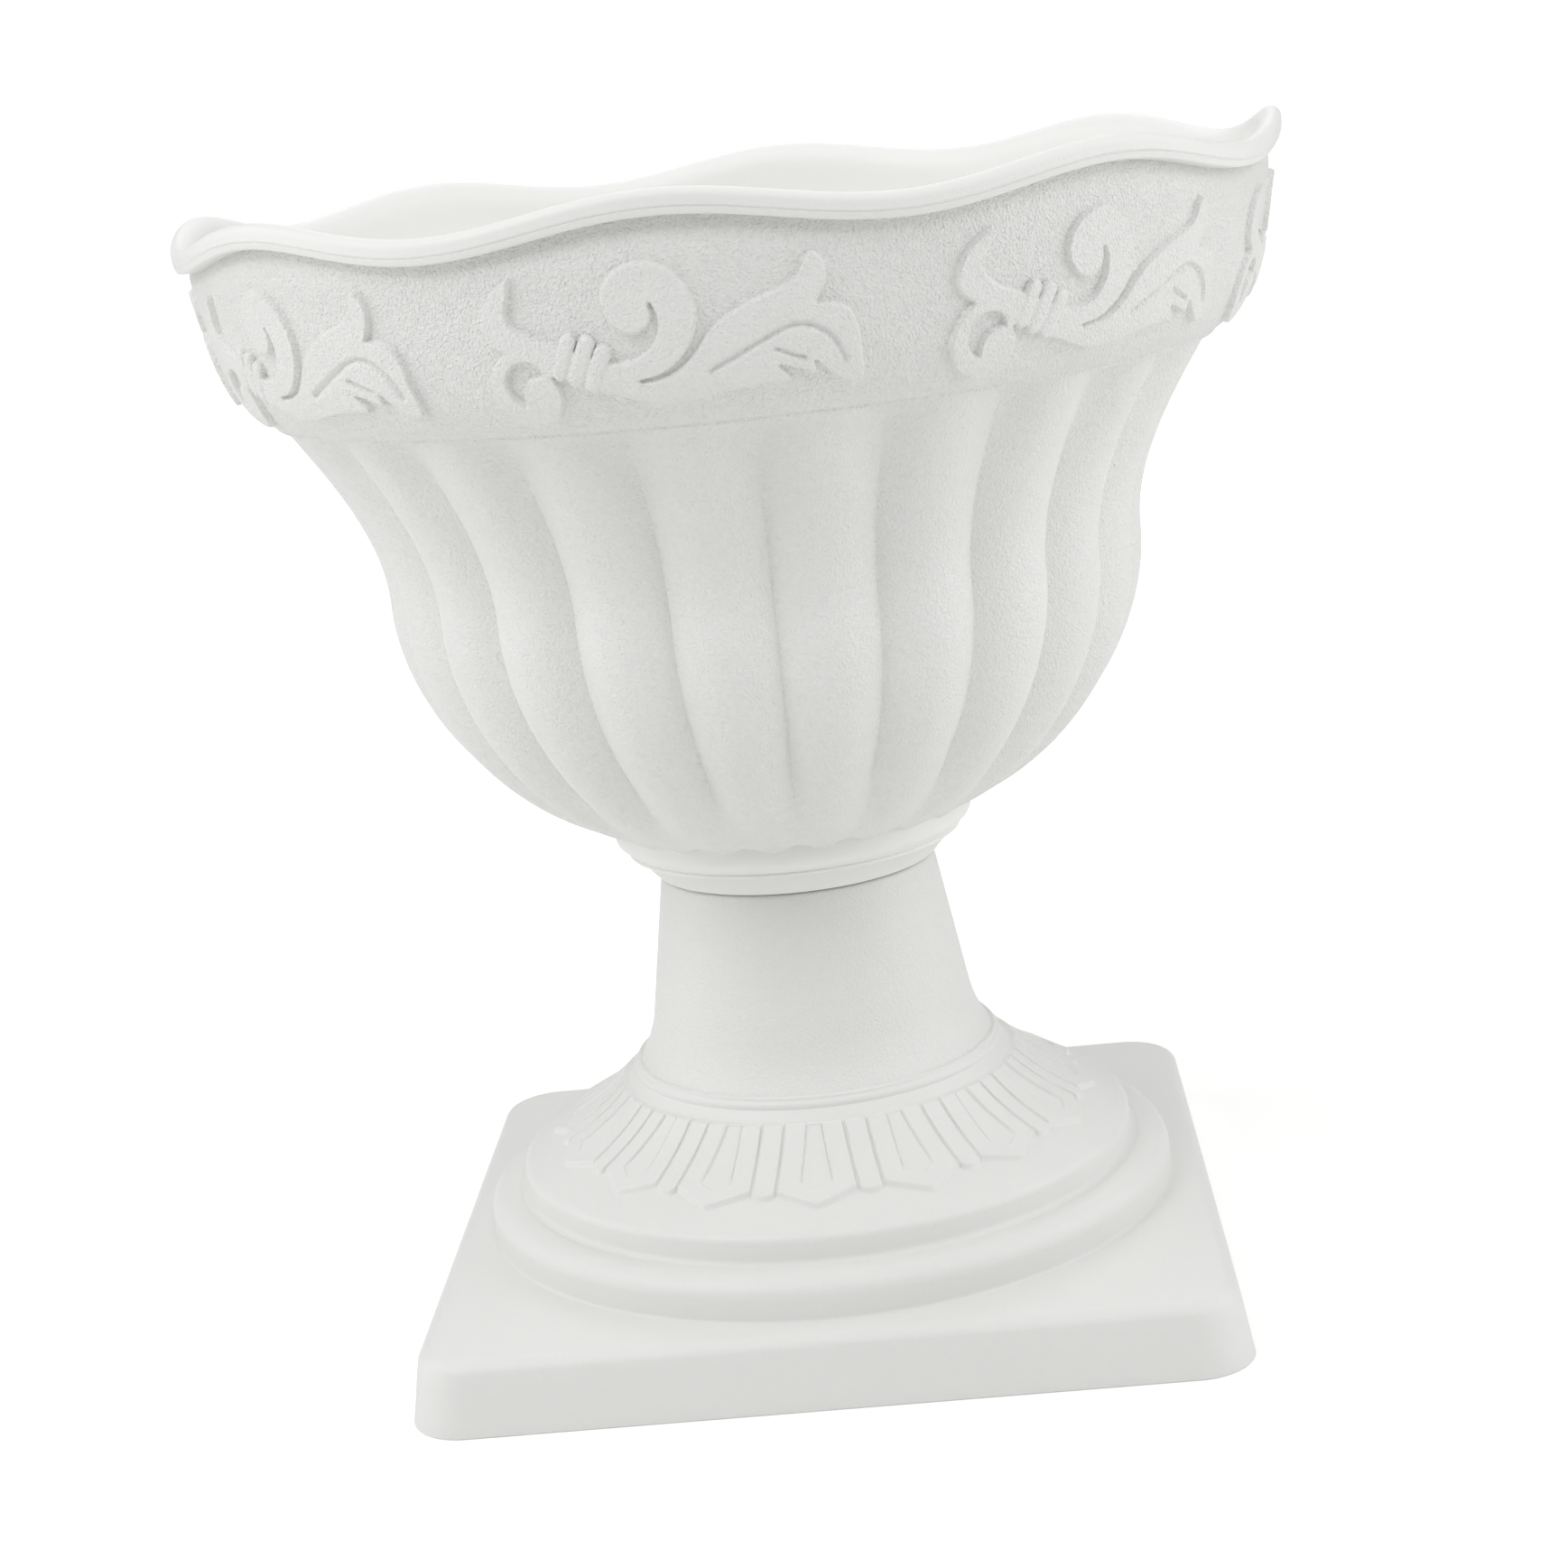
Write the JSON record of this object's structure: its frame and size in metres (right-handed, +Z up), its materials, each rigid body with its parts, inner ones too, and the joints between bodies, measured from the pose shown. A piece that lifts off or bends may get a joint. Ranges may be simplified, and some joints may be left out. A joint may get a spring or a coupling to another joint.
{
  "type": "urn planter",
  "caption": "Classical urn planter: a gadrooned bowl with a waved lip stands on a square-footed pedestal and lifts off, with a drain grid and a plug inside.",
  "frame": {"origin": "on the ground under the middle of the plinth's square foot", "axes": "+Z up along the axis of the column and the bowl, X and Y square to the plinth's sides, -Y towards the front"},
  "size_m": [0.2162, 0.2162, 0.2274],
  "materials": {
    "pedestal_plastic": "white polypropylene, injection moulded, satin",
    "bowl_plastic": "white polypropylene, injection moulded, fine spark-eroded grain outside",
    "grid_plastic": "white polypropylene, injection moulded, satin",
    "plug_rubber": "grey moulded rubber, matt"
  },
  "bodies": {
    "pedestal": {"pedestal": "pedestal_plastic"},
    "bowl": {"bowl": "bowl_plastic"},
    "drain_grid": {"drain_grid": "grid_plastic"},
    "drain_plug": {"drain_plug": "plug_rubber"}
  },
  "joints": [
    {"name": "bowl_lift", "type": "slide", "parent": "pedestal", "child": "bowl", "axis": [0, 0, 1], "range_m": [0, 0.06]},
    {"name": "grid_lift", "type": "slide", "parent": "bowl", "child": "drain_grid", "axis": [0, 0, 1], "range_m": [0, 0.15]},
    {"name": "plug_pull", "type": "slide", "parent": "bowl", "child": "drain_plug", "axis": [0, 0, -1], "range_m": [0, 0.03]}
  ]
}
